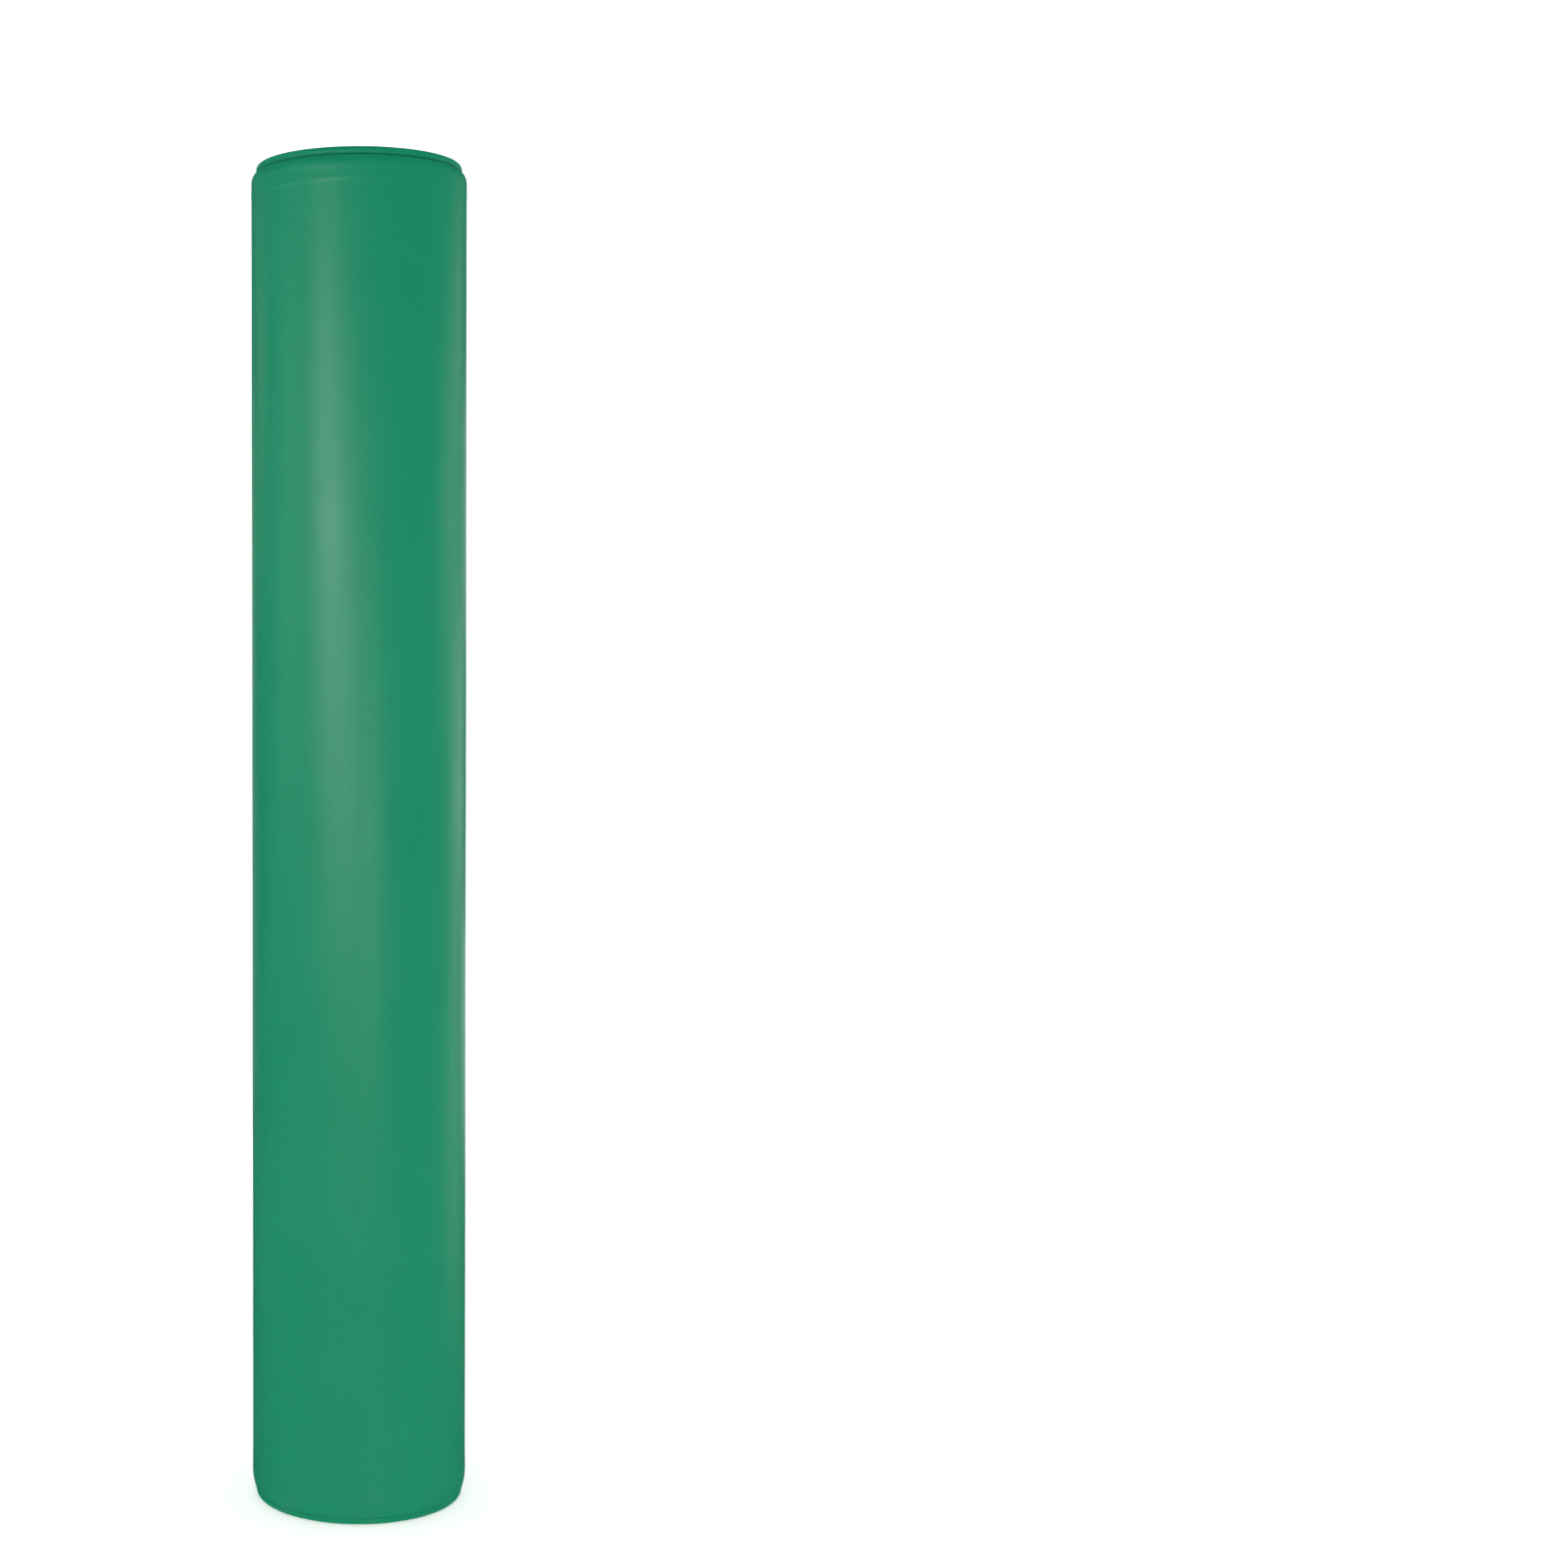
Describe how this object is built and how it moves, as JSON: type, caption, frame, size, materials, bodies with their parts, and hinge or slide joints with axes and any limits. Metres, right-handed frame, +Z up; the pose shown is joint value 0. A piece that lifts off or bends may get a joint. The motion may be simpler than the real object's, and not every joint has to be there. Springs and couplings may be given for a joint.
{
  "type": "basketball pole pad",
  "caption": "Tall round clamshell pad of foam in green coated cloth that closes round a pole, with welted ends and a full-length hook and loop flap.",
  "frame": {"origin": "centre of the pad's base, on the axis of the pole bore", "axes": "+Z up along the pole bore, -Y the plain front with the cloth hinge, +Y the closure flap"},
  "size_m": [0.29, 0.294, 1.8],
  "materials": {
    "vinyl": "satin",
    "lining": "matte",
    "foam": "matte",
    "cord": "matte",
    "hook": "matte",
    "loop": "matte"
  },
  "bodies": {
    "left_half": {"left_outer_cover": "vinyl", "left_bore_liner": "lining", "left_hinge_facing": "lining", "left_closure_facing": "lining", "left_foam_lower": "foam", "left_foam_middle": "foam", "left_foam_upper": "foam", "left_top_panel": "vinyl", "left_top_welt": "vinyl", "left_top_welt_cord": "cord", "left_bottom_panel": "vinyl", "left_bottom_welt": "vinyl", "left_bottom_welt_cord": "cord", "loop_tape": "loop"},
    "right_half": {"right_outer_cover": "vinyl", "right_bore_liner": "lining", "right_hinge_facing": "lining", "right_closure_facing": "lining", "right_foam_lower": "foam", "right_foam_middle": "foam", "right_foam_upper": "foam", "right_top_panel": "vinyl", "right_top_welt": "vinyl", "right_top_welt_cord": "cord", "right_bottom_panel": "vinyl", "right_bottom_welt": "vinyl", "right_bottom_welt_cord": "cord", "flap_root_strip": "vinyl"},
    "closure_flap": {"closure_flap": "vinyl", "hook_tape": "hook"}
  },
  "joints": [
    {"name": "front_hinge", "type": "hinge", "parent": "left_half", "child": "right_half", "pos_m": [0, -0.145, 0], "axis": [0, 0, -1], "range_deg": [0, 165]},
    {"name": "flap_hinge", "type": "hinge", "parent": "right_half", "child": "closure_flap", "pos_m": [0.02014, 0.14511, 0], "axis": [0, 0, -1], "range_deg": [0, 150]}
  ],
  "couplings": [
    {"joint": "flap_hinge", "follows": "front_hinge", "ratio": 0.9}
  ]
}
